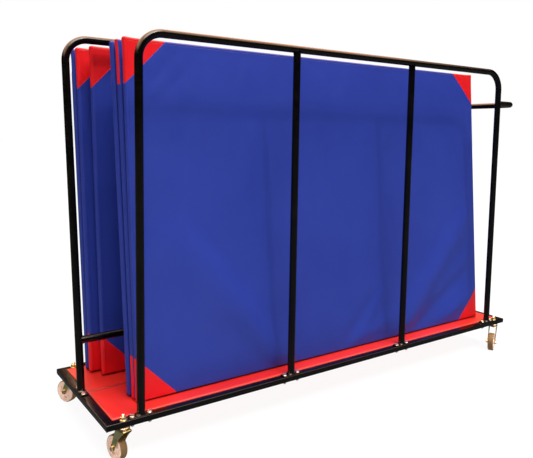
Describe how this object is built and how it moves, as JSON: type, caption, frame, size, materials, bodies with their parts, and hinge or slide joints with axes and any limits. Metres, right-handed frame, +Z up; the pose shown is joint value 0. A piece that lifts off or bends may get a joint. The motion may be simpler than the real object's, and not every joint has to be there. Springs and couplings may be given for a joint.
{
  "type": "mat trolley",
  "caption": "Flat steel trolley on swivel casters, with tube hoops that hold gym mats on edge in two bays and a U-shaped push handle.",
  "frame": {"origin": "on the floor, under the middle of the bounding box", "axes": "+X along the trolley towards its push handle, +Y from the front hoop to the rear hoop, +Z up"},
  "size_m": [2.0956, 0.6911, 1.3914],
  "materials": {
    "black_paint": "semi-gloss black powder coat",
    "red_board": "semi-gloss red paint on board",
    "bright_zinc": "bright zinc plate",
    "yellow_zinc": "yellow passivated zinc plate",
    "cream_plastic": "moulded nylon",
    "tan_rubber": "moulded tan rubber",
    "blue_vinyl": "satin coated vinyl"
  },
  "bodies": {
    "frame": {"caster_front_left_race_cup": "bright_zinc", "caster_front_left_stem": "yellow_zinc", "caster_front_right_race_cup": "bright_zinc", "caster_front_right_stem": "yellow_zinc", "caster_rear_left_race_cup": "bright_zinc", "caster_rear_left_stem": "yellow_zinc", "caster_rear_right_race_cup": "bright_zinc", "caster_rear_right_stem": "yellow_zinc", "deck_bearer_1": "black_paint", "deck_bearer_2": "black_paint", "deck_bearer_3": "black_paint", "deck_bearer_4": "black_paint", "deck_board_front": "red_board", "deck_board_rear": "red_board", "front_hoop": "black_paint", "front_hoop_bar_left": "black_paint", "front_hoop_bar_right": "black_paint", "front_hoop_foot_1": "bright_zinc", "front_hoop_foot_2": "bright_zinc", "front_hoop_foot_3": "bright_zinc", "front_hoop_foot_4": "bright_zinc", "middle_hoop": "black_paint", "middle_hoop_foot_left": "bright_zinc", "middle_hoop_foot_right": "bright_zinc", "middle_hoop_lower_rail": "black_paint", "push_handle": "black_paint", "rail_front": "black_paint", "rail_left": "black_paint", "rail_rear": "black_paint", "rail_right": "black_paint", "rear_hoop": "black_paint", "rear_hoop_bar_left": "black_paint", "rear_hoop_bar_right": "black_paint", "rear_hoop_foot_1": "bright_zinc", "rear_hoop_foot_2": "bright_zinc", "rear_hoop_foot_3": "bright_zinc", "rear_hoop_foot_4": "bright_zinc"},
    "front_left_swivel": {"caster_front_left_fork": "yellow_zinc", "caster_front_left_axle": "bright_zinc"},
    "front_left_wheel": {"caster_front_left_wheel_centre": "cream_plastic", "caster_front_left_tyre": "tan_rubber"},
    "front_right_swivel": {"caster_front_right_fork": "yellow_zinc", "caster_front_right_axle": "bright_zinc"},
    "front_right_wheel": {"caster_front_right_wheel_centre": "cream_plastic", "caster_front_right_tyre": "tan_rubber"},
    "rear_left_swivel": {"caster_rear_left_fork": "yellow_zinc", "caster_rear_left_axle": "bright_zinc"},
    "rear_left_wheel": {"caster_rear_left_wheel_centre": "cream_plastic", "caster_rear_left_tyre": "tan_rubber"},
    "rear_right_swivel": {"caster_rear_right_fork": "yellow_zinc", "caster_rear_right_axle": "bright_zinc"},
    "rear_right_wheel": {"caster_rear_right_wheel_centre": "cream_plastic", "caster_rear_right_tyre": "tan_rubber"},
    "mat_front_1_body": {"mat_front_1": "blue_vinyl"},
    "mat_front_2_body": {"mat_front_2": "blue_vinyl"},
    "mat_front_3_body": {"mat_front_3": "blue_vinyl"},
    "mat_rear_1_body": {"mat_rear_1": "blue_vinyl"},
    "mat_rear_2_body": {"mat_rear_2": "blue_vinyl"},
    "mat_rear_3_body": {"mat_rear_3": "blue_vinyl"}
  },
  "joints": [
    {"name": "front_left_swivel", "type": "hinge", "parent": "frame", "child": "front_left_swivel", "pos_m": [-0.98573, -0.30031, 0.11], "axis": [0, 0, 1], "continuous": true},
    {"name": "front_left_wheel", "type": "hinge", "parent": "front_left_swivel", "child": "front_left_wheel", "pos_m": [-0.99443, -0.26538, 0.0425], "axis": [-0.9703, -0.2419, 0], "continuous": true},
    {"name": "front_right_swivel", "type": "hinge", "parent": "frame", "child": "front_right_swivel", "pos_m": [0.96008, -0.30031, 0.11], "axis": [0, 0, 1], "continuous": true},
    {"name": "front_right_wheel", "type": "hinge", "parent": "front_right_swivel", "child": "front_right_wheel", "pos_m": [0.928, -0.31665, 0.0425], "axis": [0.454, -0.891, 0], "continuous": true},
    {"name": "rear_left_swivel", "type": "hinge", "parent": "frame", "child": "rear_left_swivel", "pos_m": [-0.98573, 0.21469, 0.11], "axis": [0, 0, 1], "continuous": true},
    {"name": "rear_left_wheel", "type": "hinge", "parent": "rear_left_swivel", "child": "rear_left_wheel", "pos_m": [-1.00263, 0.24648, 0.0425], "axis": [-0.8829, -0.4695, 0], "continuous": true},
    {"name": "rear_right_swivel", "type": "hinge", "parent": "frame", "child": "rear_right_swivel", "pos_m": [0.96008, 0.21469, 0.11], "axis": [0, 0, 1], "continuous": true},
    {"name": "rear_right_wheel", "type": "hinge", "parent": "rear_right_swivel", "child": "rear_right_wheel", "pos_m": [0.92625, 0.22701, 0.0425], "axis": [-0.342, -0.9397, 0], "continuous": true},
    {"name": "mat_front_1_slide", "type": "slide", "parent": "frame", "child": "mat_front_1_body", "axis": [-1, 0, 0], "range_m": [0, 1.9]},
    {"name": "mat_front_2_slide", "type": "slide", "parent": "frame", "child": "mat_front_2_body", "axis": [-1, 0, 0], "range_m": [0, 1.9]},
    {"name": "mat_front_3_slide", "type": "slide", "parent": "frame", "child": "mat_front_3_body", "axis": [-1, 0, 0], "range_m": [0, 1.9]},
    {"name": "mat_rear_1_slide", "type": "slide", "parent": "frame", "child": "mat_rear_1_body", "axis": [-1, 0, 0], "range_m": [0, 1.9]},
    {"name": "mat_rear_2_slide", "type": "slide", "parent": "frame", "child": "mat_rear_2_body", "axis": [-1, 0, 0], "range_m": [0, 1.9]},
    {"name": "mat_rear_3_slide", "type": "slide", "parent": "frame", "child": "mat_rear_3_body", "axis": [-1, 0, 0], "range_m": [0, 1.9]}
  ]
}
